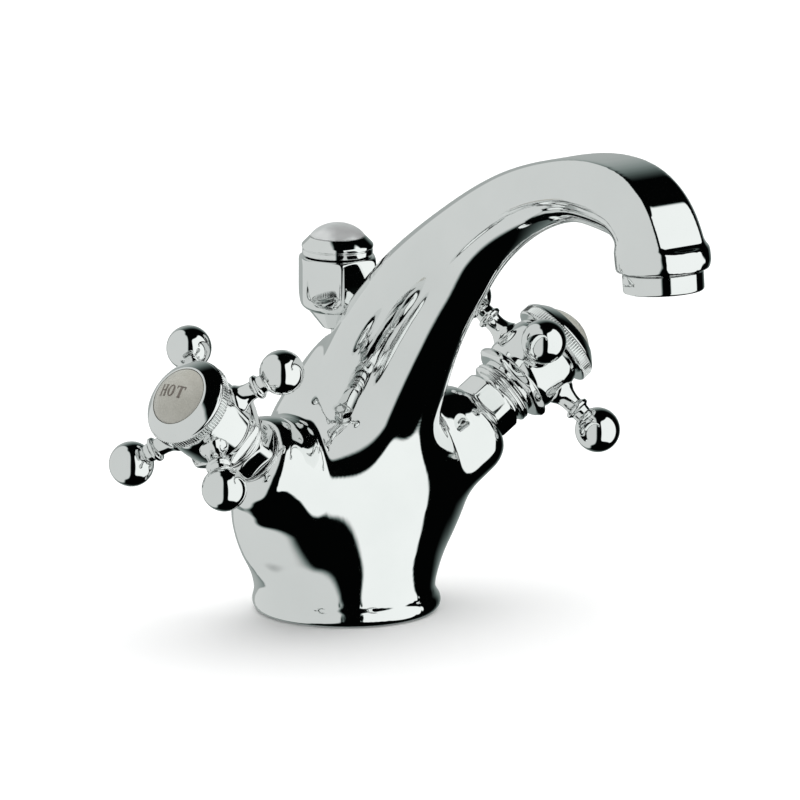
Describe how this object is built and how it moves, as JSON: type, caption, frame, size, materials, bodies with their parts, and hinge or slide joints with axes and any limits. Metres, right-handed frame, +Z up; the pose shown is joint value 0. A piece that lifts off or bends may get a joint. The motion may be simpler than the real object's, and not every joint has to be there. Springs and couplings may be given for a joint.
{
  "type": "two-handle basin mixer tap",
  "caption": "Traditional deck-mounted basin mixer with an arched fixed spout, quarter-turn cross handles and a pop-up waste lift knob behind the spout.",
  "frame": {"origin": "centre of the foot's underside, where it stands on the basin deck", "axes": "+Z up, -Y forward along the spout to the user, +X towards the cold handle"},
  "size_m": [0.155, 0.1891, 0.1538],
  "materials": {
    "chrome": "mirror-polished chrome plate over brass",
    "brass": "plain turned brass",
    "steel": "turned stainless steel",
    "porcelain": "glazed cream porcelain",
    "ceramic": "ground ceramic",
    "rubber": "black moulded rubber",
    "plastic": "moulded pale grey plastic"
  },
  "bodies": {
    "mixer": {"mixer_body": "chrome", "base_seal": "rubber", "outlet_housing": "chrome", "outlet_insert": "plastic", "outlet_seal": "rubber", "rod_guide": "chrome", "hot_bonnet": "chrome", "hot_bonnet_seal": "rubber", "hot_seat_seal": "rubber", "hot_fixed_disc": "ceramic", "cold_bonnet": "chrome", "cold_bonnet_seal": "rubber", "cold_seat_seal": "rubber", "cold_fixed_disc": "ceramic"},
    "hot_handle": {"hot_moving_disc": "ceramic", "hot_spindle": "brass", "hot_spindle_seal": "rubber", "hot_handle_hub": "chrome", "hot_handle_arm_1": "chrome", "hot_handle_arm_2": "chrome", "hot_handle_arm_3": "chrome", "hot_handle_arm_4": "chrome", "hot_handle_screw": "steel", "hot_index_ring": "chrome", "hot_index_disc": "porcelain"},
    "cold_handle": {"cold_moving_disc": "ceramic", "cold_spindle": "brass", "cold_spindle_seal": "rubber", "cold_handle_hub": "chrome", "cold_handle_arm_1": "chrome", "cold_handle_arm_2": "chrome", "cold_handle_arm_3": "chrome", "cold_handle_arm_4": "chrome", "cold_handle_screw": "steel", "cold_index_ring": "chrome", "cold_index_disc": "porcelain"},
    "waste_lift": {"lift_knob": "chrome", "lift_knob_cap": "chrome", "lift_rod": "chrome"}
  },
  "joints": [
    {"name": "hot_valve", "type": "hinge", "parent": "mixer", "child": "hot_handle", "pos_m": [0, -0.0022, 0.0229], "axis": [-0.7991, -0.1266, 0.5878], "range_deg": [0, 90]},
    {"name": "cold_valve", "type": "hinge", "parent": "mixer", "child": "cold_handle", "pos_m": [0, -0.0022, 0.0229], "axis": [0.7991, -0.1266, 0.5878], "range_deg": [-90, 0]},
    {"name": "lift_rod_slide", "type": "slide", "parent": "mixer", "child": "waste_lift", "axis": [0, 0, 1], "range_m": [0, 0.018]}
  ]
}
